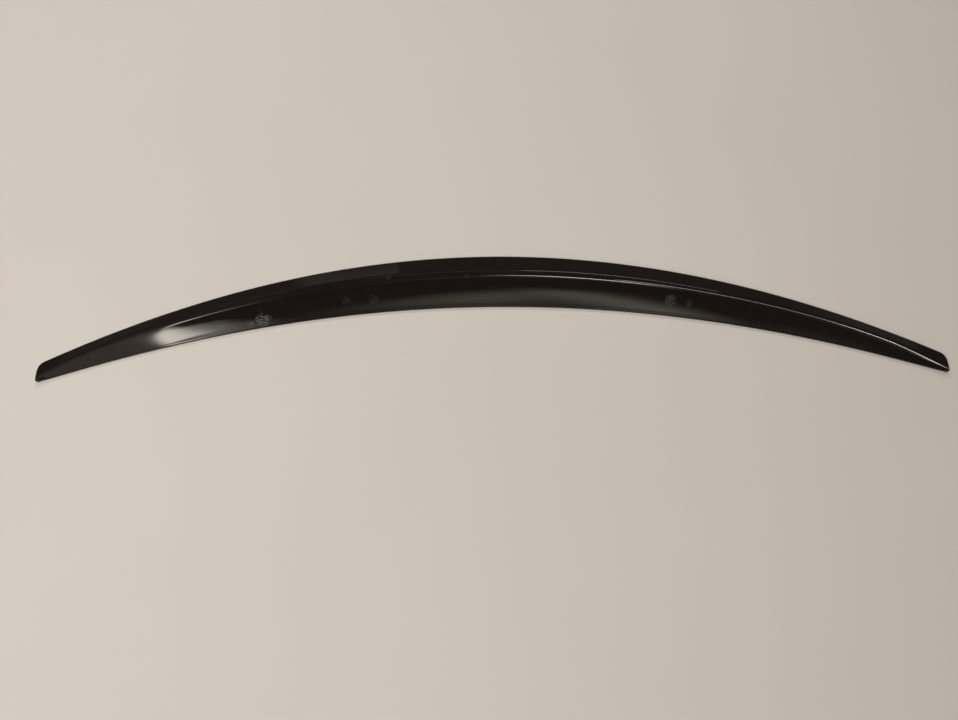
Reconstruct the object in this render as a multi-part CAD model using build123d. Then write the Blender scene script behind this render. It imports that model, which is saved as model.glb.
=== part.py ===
from build123d import *
import math
import os

# Boot-lid lip spoiler: one thin-walled moulding that lies along the rear edge of a boot lid.
# X runs along its length, +Y points to the rear of the car and +Z is up. Its underside is on Z = 0.

# Plan: the tips sweep forward of the middle, and the moulding narrows towards them
LENGTH = 1120.0
FRONT_SWEEP = 92.7
DEPTH_MID = 67.2
DEPTH_TIP = 23.4
CORNER_REAR = 13.0
CORNER_FRONT = 1.2

# Close to the tips the front edge is drawn back a little from the sweep
TUCK = 1.2
TUCK_POWER = 20

# Section: a hollow ramp climbs to the ridge, a narrow crowned land follows, and a flat slope falls to the rear
HEIGHT_MID = 18.0
HEIGHT_TIP = 6.0
FRONT_EDGE = 2.5
REAR_EDGE = 4.0
RAMP_MID = 33.9
RAMP_TIP = 2.5
RAMP_TURN_MID = 34.0
RAMP_TURN_TIP = 4.0
RAMP_TURN_REACH = 400.0
LAND_MID = 10.5
LAND_TIP = 7.0
LAND_REACH = 260.0
LAND_TURN = 12.0

# How the ramp narrows: this share of it along a parabola, and the rest quickly, close to the tips
RAMP_GENTLE = 0.575
RAMP_QUICK_POWER = 7

# The ridge is crisp. Close to the tips its rounding starts further from the corner, by up to this share
# of the ramp's width
RIDGE_SETBACK = 0.6
RIDGE_SOFTENING = 0.3
RIDGE_SOFT_POWER = 8

# Other edge radii
SHOULDER_RADIUS = 3.0
RIM_RADIUS = 1.0

# Underside: an open hollow between a front and a rear bonding land, crossed by stiffening ribs
WALL = 2.5
SOLID_END = 70.0
FRONT_LAND_MID = 14.0
FRONT_LAND_TIP = 4.0
REAR_LAND_MID = 8.0
REAR_LAND_TIP = 4.0
RIB = 2.0
RIB_PITCH = 70.0
RIB_RECESS = 1.0

HALF = LENGTH / 2
OVERRUN = 1.0
ON_BASE = 0.01


def share(x):
    """How far x lies from the middle, as a share of the half length."""
    return abs(x) / HALF


def taper(x, middle, tip):
    """A size that changes from its middle value to its tip value along a parabola."""
    return middle + (tip - middle) * share(x) ** 2


def fade(x, middle, tip, reach):
    """A size that keeps its middle value for a while and has mostly faded to its tip value at the reach."""
    return tip + (middle - tip) * math.exp(-((x / reach) ** 4))


def sweep_y(x):
    """The parabola that the front edge follows, but for its tips."""
    return taper(x, 0, -FRONT_SWEEP)


def front_y(x):
    return sweep_y(x) + TUCK * share(x) ** TUCK_POWER


def rear_y(x):
    return sweep_y(x) + taper(x, DEPTH_MID, DEPTH_TIP)


def ramp_width(x):
    lost = RAMP_GENTLE * share(x) ** 2 + (1 - RAMP_GENTLE) * share(x) ** RAMP_QUICK_POWER
    return RAMP_MID + (RAMP_TIP - RAMP_MID) * lost


def land_width(x):
    return fade(x, LAND_MID, LAND_TIP, LAND_REACH)


def top_z(x):
    return taper(x, HEIGHT_MID, HEIGHT_TIP)


def stations(end):
    """Places for the sections of a loft from -end to end, closer together towards the ends."""
    steps = 9
    bias = 1.8
    half = [end * (1 - (1 - i / steps) ** bias) for i in range(steps + 1)]
    return [-x for x in reversed(half[1:])] + half


def across(x):
    """The plane that cuts straight across the moulding at x, with Y and Z as its own axes."""
    return Plane(origin=(x, 0, 0), x_dir=(0, 1, 0), z_dir=(1, 0, 0))


def top_corners(x):
    """Nose, ridge, shoulder and rear edge of the section at x as (y, z), before they are rounded."""
    ridge_y = sweep_y(x) + ramp_width(x)
    land = land_width(x)
    z = top_z(x) - land / 2 * math.tan(math.radians(LAND_TURN / 4))
    return (front_y(x), FRONT_EDGE), (ridge_y, z), (ridge_y + land, z), (rear_y(x), REAR_EDGE)


def slope_angle(x):
    """How steeply the rear slope falls at x."""
    shoulder, rear = top_corners(x)[2:]
    return math.atan2(shoulder[1] - rear[1], rear[0] - shoulder[0])


def half_turn(x):
    """Half the angle that the ramp turns through on its way from nose to ridge at x."""
    return math.radians(fade(x, RAMP_TURN_MID, RAMP_TURN_TIP, RAMP_TURN_REACH) / 2)


def ridge_angle(x):
    """How steeply the ramp climbs where it reaches the ridge at x."""
    nose, ridge = top_corners(x)[:2]
    return math.atan2(ridge[1] - nose[1], ridge[0] - nose[0]) + half_turn(x)


def ridge_radius(x):
    setback = RIDGE_SETBACK + RIDGE_SOFTENING * share(x) ** RIDGE_SOFT_POWER * ramp_width(x)
    corner = ridge_angle(x) - math.radians(LAND_TURN / 2)
    return setback / math.tan(corner / 2)


def ramp_circle(x):
    """Centre and radius of the arc that the ramp follows from nose to ridge at x."""
    nose, ridge = top_corners(x)[:2]
    steepest = ridge_angle(x)
    radius = math.dist(nose, ridge) / 2 / math.sin(half_turn(x))
    return (ridge[0] - radius * math.sin(steepest), ridge[1] + radius * math.cos(steepest)), radius


def lower_arc(start_y, end_y, centre, radius):
    """The arc below the centre of a circle, from one y to another."""
    ys = (start_y, (start_y + end_y) / 2, end_y)
    return ThreePointArc(*[(y, centre[1] - math.sqrt(radius**2 - (y - centre[0]) ** 2)) for y in ys])


def rounded(face, corner, radius):
    """The face with its corner nearest to the given point rounded."""
    return fillet(face.vertices().sort_by_distance(corner)[0], radius)


def plan():
    """The outline from above: front and rear curves, joined by short straight ends with rounded corners."""
    front_tip = front_y(HALF)
    rear_tip = rear_y(HALF)
    front = Spline(*[(x, front_y(x)) for x in stations(HALF)])
    rear = Bezier((HALF, rear_tip), (0, 2 * DEPTH_MID - rear_tip), (-HALF, rear_tip))
    outline = make_face([front, Line(front @ 1, rear @ 0), rear, Line(rear @ 1, front @ 0)])
    for x in (-HALF, HALF):
        outline = rounded(outline, (x, rear_tip), CORNER_REAR)
        outline = rounded(outline, (x, front_tip), CORNER_FRONT)
    return outline


def skin_section(x):
    """Everything under the top surface at x, carried one wall past the plan at front and rear."""
    nose, ridge, shoulder, rear = top_corners(x)
    ramp = lower_arc(nose[0] - WALL, ridge[0], *ramp_circle(x))
    back = (rear[0] + WALL, rear[1] - WALL * math.tan(slope_angle(x)))
    below = -HEIGHT_MID
    land = ThreePointArc(ridge, ((ridge[0] + shoulder[0]) / 2, top_z(x)), shoulder)
    rest = Polyline(shoulder, back, (back[0], below), ((ramp @ 0).X, below), ramp @ 0)
    face = make_face([ramp, land, rest])
    face = rounded(face, ridge, ridge_radius(x))
    face = rounded(face, shoulder, SHOULDER_RADIUS)
    return across(x) * face


def hollow_section(x):
    """The hollow at x: one wall below the ramp, land and slope, and open through the underside."""
    ridge, shoulder = top_corners(x)[1:3]
    centre, radius = ramp_circle(x)
    radius += WALL
    roof = ridge[1] - WALL
    front = front_y(x) + taper(x, FRONT_LAND_MID, FRONT_LAND_TIP)
    back = rear_y(x) - taper(x, REAR_LAND_MID, REAR_LAND_TIP)
    roof_front = centre[0] + math.sqrt(radius**2 - (roof - centre[1]) ** 2)
    roof_rear = shoulder[0] - WALL * math.tan(slope_angle(x) / 2)
    back_top = roof - (back - roof_rear) * math.tan(slope_angle(x))
    ramp = lower_arc(front, roof_front, centre, radius)
    rest = Polyline(ramp @ 1, (roof_rear, roof), (back, back_top), (back, -WALL), (front, -WALL), ramp @ 0)
    return across(x) * make_face([ramp, rest])


def ribs(end):
    """Slabs that cross the hollow at even steps and stop short of the face that is bonded."""
    bays = max(1, round(2 * end / RIB_PITCH))
    slab = Box(RIB, 2 * (FRONT_SWEEP + DEPTH_MID), HEIGHT_MID, align=(Align.CENTER, Align.CENTER, Align.MIN))
    return [Pos(-end + 2 * end * bay / bays, 0, RIB_RECESS) * slab for bay in range(1, bays)]


def hollow():
    end = HALF - SOLID_END
    return loft([hollow_section(x) for x in stations(end)]) - ribs(end)


def rim(body):
    """The edges where the upright walls meet the top surface."""
    walls = [face for face in body.faces() if face.bounding_box().min.Z < ON_BASE]
    return [edge for wall in walls for edge in wall.edges() if edge.bounding_box().min.Z > ON_BASE]


def spoiler():
    skin = loft([skin_section(x) for x in stations(HALF + OVERRUN)])
    body = extrude(plan(), 2 * HEIGHT_MID) & skin
    body = fillet(rim(body), RIM_RADIUS) - hollow()
    return Pos(Y=-body.bounding_box().center().Y) * body


os.makedirs("parts", exist_ok=True)
export_step(spoiler(), "parts/lip_spoiler.step")
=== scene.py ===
import math

import bmesh
import bpy
from mathutils import Euler, Matrix, Vector


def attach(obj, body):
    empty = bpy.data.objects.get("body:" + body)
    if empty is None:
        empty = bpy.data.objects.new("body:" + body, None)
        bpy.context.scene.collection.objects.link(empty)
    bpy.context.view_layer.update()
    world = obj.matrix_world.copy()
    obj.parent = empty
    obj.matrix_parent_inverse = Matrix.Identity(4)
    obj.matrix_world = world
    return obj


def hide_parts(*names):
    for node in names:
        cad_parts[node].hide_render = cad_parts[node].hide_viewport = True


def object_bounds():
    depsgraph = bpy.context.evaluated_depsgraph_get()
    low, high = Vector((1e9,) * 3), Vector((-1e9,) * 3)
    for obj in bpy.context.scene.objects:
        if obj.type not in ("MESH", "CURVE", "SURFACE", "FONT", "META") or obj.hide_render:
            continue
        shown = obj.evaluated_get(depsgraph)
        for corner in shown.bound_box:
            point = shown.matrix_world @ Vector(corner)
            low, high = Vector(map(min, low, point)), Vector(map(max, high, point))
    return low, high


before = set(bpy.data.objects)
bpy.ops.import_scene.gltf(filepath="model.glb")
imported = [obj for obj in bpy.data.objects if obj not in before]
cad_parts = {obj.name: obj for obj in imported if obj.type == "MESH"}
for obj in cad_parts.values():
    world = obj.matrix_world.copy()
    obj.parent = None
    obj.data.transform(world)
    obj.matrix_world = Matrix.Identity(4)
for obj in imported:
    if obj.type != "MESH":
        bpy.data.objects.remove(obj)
cad_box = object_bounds()
scene = bpy.context.scene

# Sizes of the moulding in millimetres, the same as in the solid that it stands for
MM = 0.001
HALF = cad_box[1].x / MM
HEIGHT_MID = cad_box[1].z / MM
HEIGHT_TIP = 6.0
DEPTH_MID = 67.2
DEPTH_TIP = 23.4
FRONT_SWEEP = 92.7
Y_SHIFT = cad_box[1].y / MM - DEPTH_MID
CORNER_REAR = 13.0
CORNER_FRONT = 1.2
TUCK = 1.2
TUCK_POWER = 20
FRONT_EDGE = 2.5
REAR_EDGE = 4.0
RAMP_MID = 33.9
RAMP_TIP = 2.5
RAMP_GENTLE = 0.575
RAMP_QUICK_POWER = 7
RAMP_TURN_MID = 34.0
RAMP_TURN_TIP = 4.0
RAMP_TURN_REACH = 400.0
LAND_MID = 10.5
LAND_TIP = 7.0
LAND_REACH = 260.0
LAND_TURN = 12.0
RIDGE_SETBACK = 0.6
RIDGE_SOFTENING = 0.3
RIDGE_SOFT_POWER = 8
SHOULDER_RADIUS = 3.0
RIM_RADIUS = 1.0
WALL = 2.5
SOLID_END = 70.0
FRONT_LAND_MID = 14.0
FRONT_LAND_TIP = 4.0
REAR_LAND_MID = 8.0
REAR_LAND_TIP = 4.0
RIB = 2.0
RIB_PITCH = 70.0
RIB_RECESS = 1.0

# Fineness of the moulding's mesh: steps along it, how close rings may come before one is left out and
# points before they are joined, and rows across it
STEP = 2.5
CLOSEST = 0.02
WELD = 0.002
RIM_STEPS = 6
CORNER_STEPS = 12
RAMP_ROWS = 22
RIDGE_ROWS = 14
LAND_ROWS = 8
SHOULDER_ROWS = 8
SLOPE_ROWS = 12
INNER_ROWS = 6
SHARP_ANGLE = math.radians(40)


# The moulding's form

def share(x):
    """How far x lies from the middle, as a share of the half length."""
    return abs(x) / HALF


def taper(x, middle, tip):
    """A size that changes from its middle value to its tip value along a parabola."""
    return middle + (tip - middle) * share(x) ** 2


def fade(x, middle, tip, reach):
    """A size that keeps its middle value for a while and has mostly faded to its tip value at reach."""
    return tip + (middle - tip) * math.exp(-((x / reach) ** 4))


def sweep_y(x):
    """The parabola that the front edge follows, but for its tips."""
    return taper(x, 0, -FRONT_SWEEP)


def front_y(x):
    return sweep_y(x) + TUCK * share(x) ** TUCK_POWER


def rear_y(x):
    return sweep_y(x) + taper(x, DEPTH_MID, DEPTH_TIP)


def edge_lean(edge, x):
    """The angle between a long edge of the plan and the X axis, over the millimetre around x."""
    return math.atan(edge(x + 0.5) - edge(x - 0.5))


def spread(first, last, steps):
    """Even steps from first to last, both included."""
    return [first + (last - first) * i / steps for i in range(steps + 1)]


class Corner:
    """A rounded corner of the plan: an arc from a long edge into the straight end at x = HALF."""

    def __init__(self, edge, radius, side):
        self.edge = edge
        self.radius = radius
        self.side = side
        self.x = HALF - radius
        self.lean = edge_lean(edge, self.x)
        self.y = edge(self.x) - side * radius / math.cos(self.lean)
        self.start = self.x - side * radius * math.sin(self.lean)

    def limit(self, x):
        """The y of the outline at x on this side."""
        if abs(x) < self.start:
            return self.edge(x)
        return self.y + self.side * math.sqrt(max(0, self.radius**2 - (abs(x) - self.x) ** 2))

    def stations(self):
        """Places along the moulding at even steps around this corner."""
        first = math.asin((self.start - self.x) / self.radius)
        return [self.x + self.radius * math.sin(a) for a in spread(first, math.pi / 2, CORNER_STEPS)]

    def inset(self, x, y):
        """How far inside the outline a point lies, as far as this edge and corner tell."""
        along = abs(x) - self.x
        up = y - self.y
        if self.side * up > 0 and along * math.cos(self.lean) + up * math.sin(self.lean) > 0:
            return self.radius - math.hypot(along, up)
        return self.side * (self.edge(x) - y) * math.cos(edge_lean(self.edge, abs(x)))


REAR = Corner(rear_y, CORNER_REAR, 1)
FRONT = Corner(front_y, CORNER_FRONT, -1)


def rim_drop(x, y):
    """How far the rounded rim lowers the top at a point."""
    inset = min(HALF - abs(x), REAR.inset(x, y), FRONT.inset(x, y))
    short = max(0, RIM_RADIUS - max(0, inset))
    return RIM_RADIUS - math.sqrt(RIM_RADIUS**2 - short**2)


class Circle:
    """A circle in a section, whose upper or lower side the surface follows."""

    def __init__(self, y, z, radius):
        self.y = y
        self.z = z
        self.radius = radius

    def half_height(self, y):
        return math.sqrt(self.radius**2 - (y - self.y) ** 2)

    def upper(self, y):
        return self.z + self.half_height(y)

    def lower(self, y):
        return self.z - self.half_height(y)


class Section:
    """The moulding cut straight across at x."""

    def __init__(self, x):
        self.x = x
        self.front = front_y(x)
        self.rear = rear_y(x)
        lost = RAMP_GENTLE * share(x) ** 2 + (1 - RAMP_GENTLE) * share(x) ** RAMP_QUICK_POWER
        width = RAMP_MID + (RAMP_TIP - RAMP_MID) * lost
        ridge = sweep_y(x) + width
        half_land = fade(x, LAND_MID, LAND_TIP, LAND_REACH) / 2
        self.shoulder_y = ridge + 2 * half_land

        # The land is crowned, an arc whose centre lies below it
        lean = math.radians(LAND_TURN / 2)
        top = taper(x, HEIGHT_MID, HEIGHT_TIP)
        radius = half_land / math.sin(lean)
        self.land = Circle(ridge + half_land, top - radius, radius)
        self.edge_z = self.land.upper(ridge)

        # The ramp is hollow, an arc whose centre lies above it
        rise = self.edge_z - FRONT_EDGE
        half_turn = math.radians(fade(x, RAMP_TURN_MID, RAMP_TURN_TIP, RAMP_TURN_REACH) / 2)
        steepest = math.atan2(rise, ridge - self.front) + half_turn
        radius = math.hypot(rise, ridge - self.front) / 2 / math.sin(half_turn)
        centre_z = self.edge_z + radius * math.cos(steepest)
        self.ramp = Circle(ridge - radius * math.sin(steepest), centre_z, radius)

        setback = RIDGE_SETBACK + RIDGE_SOFTENING * share(x) ** RIDGE_SOFT_POWER * width
        self.round_ridge(setback / math.tan((steepest - lean) / 2))
        self.fall = math.atan2(self.edge_z - REAR_EDGE, self.rear - self.shoulder_y)
        self.round_shoulder()

    def round_ridge(self, radius):
        """Rounds the ridge, with a circle that touches the ramp from below and the land from inside."""
        aside = self.land.y - self.ramp.y
        below = self.ramp.z - self.land.z
        apart = math.hypot(aside, below)
        to_ramp = self.ramp.radius + radius
        to_land = self.land.radius - radius
        corner = math.acos((to_ramp**2 + apart**2 - to_land**2) / (2 * to_ramp * apart))
        self.ridge_turn = math.atan2(aside, below) + corner
        y = self.ramp.y + to_ramp * math.sin(self.ridge_turn)
        self.ridge = Circle(y, self.ramp.z - to_ramp * math.cos(self.ridge_turn), radius)
        self.ridge_lean = math.asin((self.land.y - y) / to_land)
        self.ramp_end = y - radius * math.sin(self.ridge_turn)
        self.land_start = y - radius * math.sin(self.ridge_lean)

    def round_shoulder(self):
        """Rounds the shoulder, with a circle that touches the land and the slope from inside."""
        radius = SHOULDER_RADIUS
        sine = math.sin(self.fall)
        cosine = math.cos(self.fall)
        to_land = self.land.radius - radius
        depth = (self.shoulder_y - self.land.y) * sine + (self.edge_z - self.land.z) * cosine - radius
        along = math.sqrt(to_land**2 - depth**2)
        y = self.land.y + depth * sine - along * cosine
        self.shoulder = Circle(y, self.land.z + depth * cosine + along * sine, radius)
        self.shoulder_lean = math.asin((y - self.land.y) / to_land)
        self.land_end = y + radius * math.sin(self.shoulder_lean)
        self.slope_start = y + radius * sine

    def height(self, y):
        """The height of the top at y, without the rounded rim."""
        if y < self.ramp_end:
            return self.ramp.lower(y)
        if y < self.land_start:
            return self.ridge.upper(y)
        if y < self.land_end:
            return self.land.upper(y)
        if y < self.slope_start:
            return self.shoulder.upper(y)
        return REAR_EDGE + (self.rear - y) * math.tan(self.fall)

    def top_rows(self):
        """The places of the rows across the top, front to rear, closer together on the roundings."""
        rim = [RIM_RADIUS * (1 - math.cos(a)) for a in spread(0, math.pi / 2, RIM_STEPS)]
        ridge_turns = spread(self.ridge_turn, self.ridge_lean, RIDGE_ROWS)
        shoulder_turns = spread(self.shoulder_lean, self.fall, SHOULDER_ROWS)
        rows = [self.front + inset for inset in rim]
        rows += spread(rows[-1], self.ramp_end, RAMP_ROWS)[1:-1]
        rows += [self.ridge.y - self.ridge.radius * math.sin(a) for a in ridge_turns]
        rows += spread(self.land_start, self.land_end, LAND_ROWS)[1:-1]
        rows += [self.shoulder.y + SHOULDER_RADIUS * math.sin(a) for a in shoulder_turns]
        rows += spread(self.slope_start, self.rear - RIM_RADIUS, SLOPE_ROWS)[1:-1]
        return sorted(rows + [self.rear - inset for inset in rim])

    def under_rows(self, level):
        """Rows of the underside as (y, z), rear to front: the hollow, or as many rows at a level."""
        back = self.rear - taper(self.x, REAR_LAND_MID, REAR_LAND_TIP)
        front = self.front + taper(self.x, FRONT_LAND_MID, FRONT_LAND_TIP)
        if level is None:
            recess = RIB_RECESS
            inner = self.hollow_rows(front, back)
        else:
            recess = level
            count = 2 * (INNER_ROWS + 1)
            inner = [(y, level) for y in spread(back, front, count + 1)[1:-1]]
        return [(back, 0), (back, recess), *inner, (front, recess), (front, 0)]

    def hollow_rows(self, front, back):
        """The inside of the wall below slope, land and ramp, from back to front."""
        roof = self.edge_z - WALL
        inside = Circle(self.ramp.y, self.ramp.z, self.ramp.radius + WALL)
        roof_rear = self.shoulder_y - WALL * math.tan(self.fall / 2)
        roof_front = inside.y + math.sqrt(inside.radius**2 - (roof - inside.z) ** 2)
        slope = spread(back, roof_rear, INNER_ROWS)
        ramp = spread(roof_front, front, INNER_ROWS)
        rows = [(y, roof - (y - roof_rear) * math.tan(self.fall)) for y in slope]
        return rows + [(y, inside.lower(y)) for y in ramp]

    def ring(self, level):
        """The closed outline of the section, drawn together where the plan's corners are rounded."""
        low = FRONT.limit(self.x)
        high = REAR.limit(self.x)
        scale = (high - low) / (self.rear - self.front)
        points = [(low, 0)]
        for y in [low + (y - self.front) * scale for y in self.top_rows()]:
            points.append((y, self.height(y) - rim_drop(self.x, y)))
        points.append((high, 0))
        points += [(low + (y - self.front) * scale, z) for y, z in self.under_rows(level)]
        return [(self.x * MM, (y + Y_SHIFT) * MM, z * MM) for y, z in points]


def stations():
    """Every place of a ring along the moulding, as (x, level of the underside or None in the hollow)."""
    end = HALF - SOLID_END
    rim = [HALF - RIM_RADIUS * (1 - math.cos(a)) for a in spread(0, math.pi / 2, RIM_STEPS)]
    sides = spread(end, REAR.start, round((REAR.start - end) / STEP))
    tip = sorted(sides + REAR.stations() + FRONT.stations() + rim)
    tip = [x for x, following in zip(tip, tip[1:]) if following - x > CLOSEST] + [HALF]
    places = [(-x, 0) for x in reversed(tip)]
    bays = round(2 * end / RIB_PITCH)
    walls = spread(-end, end, bays)
    for bay, (first, last) in enumerate(zip(walls, walls[1:])):
        first += RIB / 2 if bay > 0 else 0
        last -= RIB / 2 if bay < bays - 1 else 0
        places += [(x, None) for x in spread(first, last, round((last - first) / STEP))]
        if bay < bays - 1:
            places += [(last, RIB_RECESS), (last + RIB, RIB_RECESS)]
    return places + [(x, 0) for x in tip]


def moulding_mesh():
    """The closed skin of the moulding, from rings of points along it."""
    rings = [Section(x).ring(level) for x, level in stations()]
    size = len(rings[0])
    faces = [list(reversed(range(size))), [len(rings) * size - size + i for i in range(size)]]
    for start in range(0, (len(rings) - 1) * size, size):
        for i in range(size):
            j = (i + 1) % size
            faces.append([start + i, start + j, start + size + j, start + size + i])
    mesh = bpy.data.meshes.new("lip_moulding")
    mesh.from_pydata([point for ring in rings for point in ring], [], faces)
    form = bmesh.new()
    form.from_mesh(mesh)
    bmesh.ops.remove_doubles(form, verts=form.verts, dist=WELD * MM)
    bmesh.ops.recalc_face_normals(form, faces=form.faces)
    form.to_mesh(mesh)
    form.free()
    mesh.shade_smooth()
    mesh.set_sharp_from_angle(angle=SHARP_ANGLE)
    return mesh


# Node trees

class Tree:
    """A node tree, with short calls that add nodes and link them."""

    def __init__(self, holder):
        holder.use_nodes = True
        self.nodes = holder.node_tree.nodes
        self.links = holder.node_tree.links

    def feed(self, socket, value):
        """Links a socket to an output, or sets it to a plain value."""
        if isinstance(value, bpy.types.NodeSocket):
            self.links.new(value, socket)
        else:
            socket.default_value = value

    def add(self, kind, inputs, **settings):
        node = self.nodes.new("ShaderNode" + kind)
        for name, value in settings.items():
            setattr(node, name, value)
        for name, value in inputs.items():
            self.feed(node.inputs[name], value)
        return node

    def math(self, operation, first, second=0.0, third=0.0):
        return self.add("Math", {0: first, 1: second, 2: third}, operation=operation).outputs[0]

    def scaled(self, vector, scale):
        return self.add("VectorMath", {0: vector, 1: scale}, operation="MULTIPLY").outputs[0]

    def distance(self, vector, place):
        return self.add("VectorMath", {0: vector, 1: place}, operation="DISTANCE").outputs["Value"]

    def noise(self, vector, scale, detail=2.0):
        return self.add("TexNoise", {"Vector": vector, "Scale": scale, "Detail": detail}).outputs["Fac"]

    def step(self, value, low, high, to_low=0.0, to_high=1.0):
        """A smooth step: to_low where the value is at most low, to_high where it is at least high."""
        inputs = {"Value": value, "From Min": low, "From Max": high, "To Min": to_low, "To Max": to_high}
        return self.add("MapRange", inputs, interpolation_type="SMOOTHSTEP").outputs["Result"]

    def blend(self, factor, first, second):
        """A colour between two colours."""
        node = self.add("Mix", {"Factor": factor}, data_type="RGBA")
        self.feed(node.inputs[6], first)
        self.feed(node.inputs[7], second)
        return node.outputs[2]


# The gloss black finish, in metres on the moulding

BLACK = (0.0080, 0.0054, 0.0046, 1)
PLASTIC_IOR = 1.5
ROUGH_CLEAN = 0.025
ROUGH_FILMED = 0.055

# A faint film in patches, which are longer along the moulding
FILM_STRETCH = (0.4, 1.0, 1.0)
FILM_PER_METRE = 28
FILM_DETAIL = 4.0
FILM_LEVELS = (0.38, 0.68)

# Slow waves in the surface, and a fine peel
WAVE_LENGTH = 0.022
WAVE_HEIGHT = 4e-6
PEEL_LENGTH = 0.0035
PEEL_HEIGHT = 0.2e-6
RIPPLE_DETAIL = 1.0

# Specks of dust: radii of the dots as shares of a cell, and the draws for which a cell holds one
DUST = (0.16, 0.15, 0.14, 1)
DUST_COVER = 0.35
DUST_PER_METRE = 260.0
DUST_RADII = (0.05, 0.13)
DUST_DRAWS = (0.86, 0.88)
ROUGH_DUSTY = 0.55

# Hairlines: how their noise is stretched, how far from its middle level they reach, and where they show
HAIRLINE_STRETCH = (6.0, 90.0, 90.0)
NOISE_MIDDLE = 0.5
HAIRLINE_WIDTHS = (0.002, 0.006)
HAIRLINE_PATCHES_PER_METRE = 14
HAIRLINE_LEVELS = (0.50, 0.66)
ROUGH_HAIRLINE = 0.10

# Residue in the smudges: how finely it is broken up, and the share of a smudge's reach at full strength
RESIDUE = (0.15, 0.145, 0.14, 1)
RESIDUE_COVER = 0.45
RESIDUE_PER_METRE = 620
RESIDUE_DETAIL = 4.0
RESIDUE_LEVELS = (0.46, 0.62)
SMUDGE_CORE = 0.35
ROUGH_SMUDGED = 0.40

# Smudges: place on the moulding, reach and how strongly they show
SMUDGES = (
    ((-0.300, -0.009, 0.003), 0.007, 0.55),
    ((-0.286, -0.004, 0.004), 0.012, 1.0),
    ((-0.278, -0.002, 0.004), 0.006, 0.5),
    ((-0.182, 0.021, 0.007), 0.008, 0.35),
    ((-0.147, 0.022, 0.007), 0.008, 0.40),
    ((-0.128, 0.047, 0.017), 0.005, 0.30),
    ((-0.030, 0.048, 0.018), 0.004, 0.30),
    ((0.2245, 0.016, 0.008), 0.010, 0.85),
    ((0.248, 0.012, 0.007), 0.006, 0.75),
)


def smudges(tree, place):
    """Blots of dried residue, broken up into streaks and specks."""
    ragged = tree.step(tree.noise(place, RESIDUE_PER_METRE, RESIDUE_DETAIL), *RESIDUE_LEVELS)
    total = 0.0
    for centre, reach, strength in SMUDGES:
        blot = tree.step(tree.distance(place, centre), SMUDGE_CORE * reach, reach, strength, 0.0)
        total = tree.math("ADD", blot, total)
    return tree.math("MULTIPLY", total, ragged)


def dust(tree, place):
    """Sparse specks of dust: small dots in a few of the cells of a fine grid."""
    cells = tree.add("TexVoronoi", {"Vector": place, "Scale": DUST_PER_METRE})
    dot = tree.step(cells.outputs["Distance"], *DUST_RADII, 1.0, 0.0)
    draws = tree.add("SeparateColor", {"Color": cells.outputs["Color"]})
    chosen = tree.step(draws.outputs["Red"], *DUST_DRAWS)
    return tree.math("MULTIPLY", dot, chosen)


def hairlines(tree, place):
    """Hairlines from wiping: thin level lines of a noise that is stretched along the moulding."""
    field = tree.noise(tree.scaled(place, HAIRLINE_STRETCH), 1.0)
    off = tree.math("ABSOLUTE", tree.math("SUBTRACT", field, NOISE_MIDDLE))
    patchy = tree.step(tree.noise(place, HAIRLINE_PATCHES_PER_METRE), *HAIRLINE_LEVELS)
    return tree.math("MULTIPLY", tree.step(off, *HAIRLINE_WIDTHS, 1.0, 0.0), patchy)


def gloss_black():
    material = bpy.data.materials.new("gloss_black")
    tree = Tree(material)
    shader = tree.nodes["Principled BSDF"]
    place = tree.add("TexCoord", {}).outputs["Object"]

    soiled = smudges(tree, place)
    dusty = dust(tree, place)
    scratched = hairlines(tree, place)
    patches = tree.noise(tree.scaled(place, FILM_STRETCH), FILM_PER_METRE, FILM_DETAIL)
    film = tree.step(patches, *FILM_LEVELS)

    colour = tree.blend(tree.math("MULTIPLY", soiled, RESIDUE_COVER), BLACK, RESIDUE)
    colour = tree.blend(tree.math("MULTIPLY", dusty, DUST_COVER), colour, DUST)
    tree.feed(shader.inputs["Base Color"], colour)

    rough = tree.step(film, 0.0, 1.0, ROUGH_CLEAN, ROUGH_FILMED)
    rough = tree.math("ADD", rough, tree.math("MULTIPLY", scratched, ROUGH_HAIRLINE))
    rough = tree.math("MAXIMUM", rough, tree.math("MULTIPLY", soiled, ROUGH_SMUDGED))
    rough = tree.math("MAXIMUM", rough, tree.math("MULTIPLY", dusty, ROUGH_DUSTY))
    tree.feed(shader.inputs["Roughness"], rough)
    shader.inputs["IOR"].default_value = PLASTIC_IOR

    wave = tree.math("MULTIPLY", tree.noise(place, 1 / WAVE_LENGTH, RIPPLE_DETAIL), WAVE_HEIGHT)
    peel = tree.math("MULTIPLY", tree.noise(place, 1 / PEEL_LENGTH, RIPPLE_DETAIL), PEEL_HEIGHT)
    height = tree.math("ADD", wave, peel)
    bump = tree.add("Bump", {"Strength": 1.0, "Distance": 1.0, "Height": height})
    tree.feed(shader.inputs["Normal"], bump.outputs["Normal"])
    return material


def add_moulding():
    moulding = bpy.data.objects.new("lip_moulding", moulding_mesh())
    scene.collection.objects.link(moulding)
    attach(moulding, "root")
    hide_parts("lip_spoiler")
    moulding.data.materials.append(gloss_black())


# Floor: a plain pale board

FLOOR_REACH = 6.0
FLOOR_COLOUR = (0.60, 0.555, 0.51, 1)
FLOOR_SHADE = (0.55, 0.505, 0.465, 1)
FLOOR_SHADING = 0.25
FLOOR_CLOUDS_PER_METRE = 3.0
FLOOR_CLOUD_DETAIL = 3.0
FLOOR_CLOUD_LEVELS = (0.3, 0.7)
FLOOR_ROUGH = 0.6
FLOOR_SPECULAR = 0.2


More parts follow.
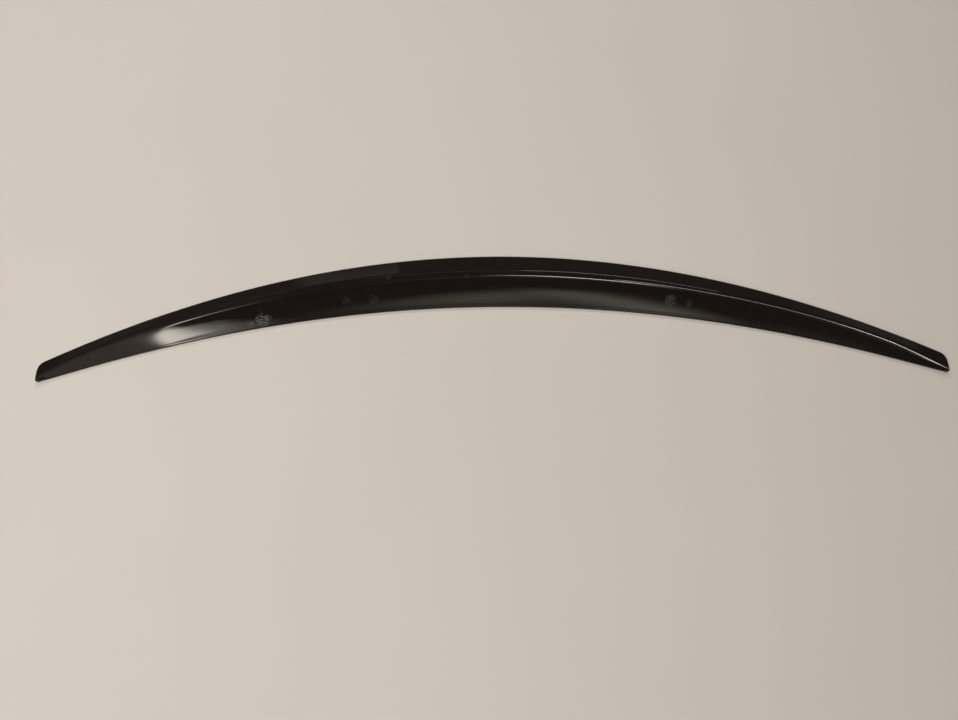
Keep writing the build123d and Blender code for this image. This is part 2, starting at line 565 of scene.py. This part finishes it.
def floor_material():
    material = bpy.data.materials.new("pale_floor")
    tree = Tree(material)
    shader = tree.nodes["Principled BSDF"]
    place = tree.add("TexCoord", {}).outputs["Object"]
    clouds = tree.noise(place, FLOOR_CLOUDS_PER_METRE, FLOOR_CLOUD_DETAIL)
    shaded = tree.math("MULTIPLY", tree.step(clouds, *FLOOR_CLOUD_LEVELS), FLOOR_SHADING)
    tree.feed(shader.inputs["Base Color"], tree.blend(shaded, FLOOR_COLOUR, FLOOR_SHADE))
    shader.inputs["Roughness"].default_value = FLOOR_ROUGH
    shader.inputs["Specular IOR Level"].default_value = FLOOR_SPECULAR
    return material


def add_floor():
    r = FLOOR_REACH
    mesh = bpy.data.meshes.new("floor")
    mesh.from_pydata([(-r, -r, 0), (r, -r, 0), (r, r, 0), (-r, r, 0)], [], [(0, 1, 2, 3)])
    mesh.materials.append(floor_material())
    floor = bpy.data.objects.new("floor", mesh)
    scene.collection.objects.link(floor)


# Light: a soft fill for the floor, and lamps overhead and behind that the gloss mirrors

WORLD_COLOUR = (0.085, 0.070, 0.062, 1)
PANEL = (1.0, 0.94, 0.83)
DULL = (1.0, 0.87, 0.72)
GLOW = (1.0, 0.97, 0.77)
WHITE = (1.0, 0.985, 0.95)


def add_world():
    world = bpy.data.worlds.new("dim_room")
    Tree(world).nodes["Background"].inputs["Color"].default_value = WORLD_COLOUR
    scene.world = world


def add_lamp(
    name, place, size, radiance, turn=0.0, tilt=0.0, soft=None, wedge=0.0, colour=WHITE, mirrored=True
):
    """A rectangular lamp that faces down, or sideways once tilted, and is only mirrored or only shines.

    turn and tilt are in degrees. soft gives the shares of its half sizes over which its left, right,
    front and rear edges fade, and wedge how much wider it is at its rear than at its middle, or narrower
    if negative.
    """
    data = bpy.data.lights.new(name, "AREA")
    data.shape = "RECTANGLE"
    data.size = size[0] * (1 + abs(wedge))
    data.size_y = size[1]
    data.color = colour
    data.energy = radiance * math.pi * data.size * data.size_y
    lamp = bpy.data.objects.new(name, data)
    lamp.location = place
    lamp.rotation_euler = (math.radians(tilt), 0, math.radians(turn))
    lamp.visible_diffuse = not mirrored
    lamp.visible_glossy = mirrored
    scene.collection.objects.link(lamp)
    if soft:
        soften(lamp, size, soft, wedge)


def between_edges(tree, place, first, last):
    """1 between the edges at -1 and 1, fading out towards each over its own share."""
    after = tree.step(place, -1, first - 1)
    before = tree.step(place, 1 - last, 1, 1.0, 0.0)
    return tree.math("MULTIPLY", after, before)


def soften(lamp, size, soft, wedge):
    """Fades a lamp out towards its edges."""
    tree = Tree(lamp.data)
    place = tree.add("TexCoord", {}, object=lamp).outputs["Object"]
    axes = tree.add("SeparateXYZ", {"Vector": place}).outputs
    along = tree.math("DIVIDE", axes["Y"], size[1] / 2)
    width = tree.math("MULTIPLY_ADD", along, wedge, 1.0)
    across = tree.math("DIVIDE", tree.math("DIVIDE", axes["X"], size[0] / 2), width)
    left, right, front, rear = soft
    sides = between_edges(tree, across, left, right)
    ends = between_edges(tree, along, front, rear)
    tree.feed(tree.nodes["Emission"].inputs["Strength"], tree.math("MULTIPLY", sides, ends))


def add_fill():
    """Lamps that light the floor and are not mirrored."""
    add_lamp("fill", (-1.25, -0.75, 2.4), (3.0, 3.0), 2.90, mirrored=False)
    add_lamp("rear_fill", (0.0, 3.0, 1.9), (1.6, 0.8), 13.0, tilt=-58, mirrored=False)


def add_overhead():
    """Lamps that the ramp mirrors, at slightly different heights so that none hides another."""
    add_lamp(
        "left_panel", (-0.794, -0.96, 1.80), (0.119, 1.04), 15.0,
        turn=3.8, soft=(0.42, 1.88, 0.74, 0.25), wedge=0.82, colour=PANEL,
    )
    add_lamp(
        "left_glow", (-0.733, -0.49, 1.81), (0.326, 1.58), 6.0,
        turn=-0.5, soft=(0.75, 1.95, 0.31, 1.60), wedge=0.56, colour=PANEL,
    )
    add_lamp(
        "left_wall", (-1.55, -1.70, 1.82), (1.70, 5.6), 0.53,
        soft=(0.11, 0.11, 0.07, 0.64), wedge=-0.17, colour=DULL,
    )
    add_lamp(
        "dome", (0.099, -0.650, 1.83), (0.889, 1.883), 1.03,
        turn=19.1, soft=(1.21, 1.27, 1.12, 0.63), wedge=0.59, colour=GLOW,
    )
    add_lamp(
        "dome_core", (0.36, -0.747, 1.84), (0.54, 1.718), 1.75,
        turn=-18.9, soft=(1.11, 1.38, 1.80, 0.35), wedge=0.53, colour=GLOW,
    )
    add_lamp(
        "right_wall", (1.45, -0.35, 1.85), (1.5, 1.3), 0.25,
        soft=(0.5, 1.0, 1.0, 0.3), colour=DULL,
    )


def add_strips():
    """Strip lamps that the ridge and the crowned land draw out into thin lines."""
    add_lamp(
        "near_strip", (0.375, 0.458, 1.86), (0.83, 0.034), 27.0,
        turn=-8.0, soft=(0.89, 0.66, 0.02, 0.02),
    )
    add_lamp(
        "far_strip", (1.13, 0.530, 1.87), (1.24, 0.045), 8.5,
        turn=-6.0, soft=(0.12, 0.02, 0.02, 0.02),
    )
    add_lamp(
        "strip_end", (1.55, 0.476, 1.88), (0.40, 0.045), 40.0,
        turn=-6.0, soft=(2.1, 0.02, 0.02, 0.02),
    )
    add_lamp(
        "tip_strip", (1.408, -0.21, 1.79), (0.045, 1.42), 16.0,
        turn=-22.9, soft=(0.02, 0.02, 0.06, 0.04), wedge=-0.10,
    )
    add_lamp("second_strip", (0.66, 1.09, 1.89), (0.96, 0.045), 4.5, turn=-2.0)
    add_lamp("second_tail", (-0.18, 1.06, 1.90), (0.74, 0.045), 0.55)


def add_cards():
    """Dim upright cards far behind, mirrored by the rear slope and the shoulder."""
    add_lamp("rear_card", (-1.03, 3.0, 0.39), (0.85, 0.42), 0.16, tilt=-90, soft=(0.47, 0.07, 0.3, 0.57))
    even = (0.4, 0.4, 0.4, 0.4)
    add_lamp("shoulder_card", (-1.9, 3.02, 1.5), (0.9, 2.0), 0.40, tilt=-90, soft=even)
    add_lamp("left_card", (-3.6, 3.03, 1.5), (2.4, 2.8), 0.06, tilt=-90, soft=even)
    add_lamp("right_card", (3.6, 3.04, 1.4), (2.4, 2.4), 0.09, tilt=-90, soft=even)


def add_light():
    add_world()
    add_fill()
    add_overhead()
    add_strips()
    add_cards()


# Camera: looking down on the moulding from its front side, fitted to the photograph's outline

AIM_ASIDE = -0.0160
AIM_AHEAD = 0.06887
DISTANCE = 0.9226
ELEVATION = math.radians(75)
ROLL = math.radians(-0.629)
LENS = 28.0
SENSOR = 36.0


def add_camera():
    data = bpy.data.cameras.new("camera")
    data.lens = LENS
    data.sensor_width = SENSOR
    camera = bpy.data.objects.new("camera", data)
    aim = Vector((AIM_ASIDE, Y_SHIFT * MM - AIM_AHEAD, 0))
    back = Vector((0, -math.cos(ELEVATION), math.sin(ELEVATION)))
    turn = Euler((math.pi / 2 - ELEVATION, 0, 0)).to_matrix() @ Matrix.Rotation(ROLL, 3, "Z")
    camera.matrix_world = Matrix.Translation(aim + DISTANCE * back) @ turn.to_4x4()
    scene.collection.objects.link(camera)
    scene.camera = camera


add_moulding()
add_floor()
add_light()
add_camera()
scene.view_settings.view_transform = "Standard"
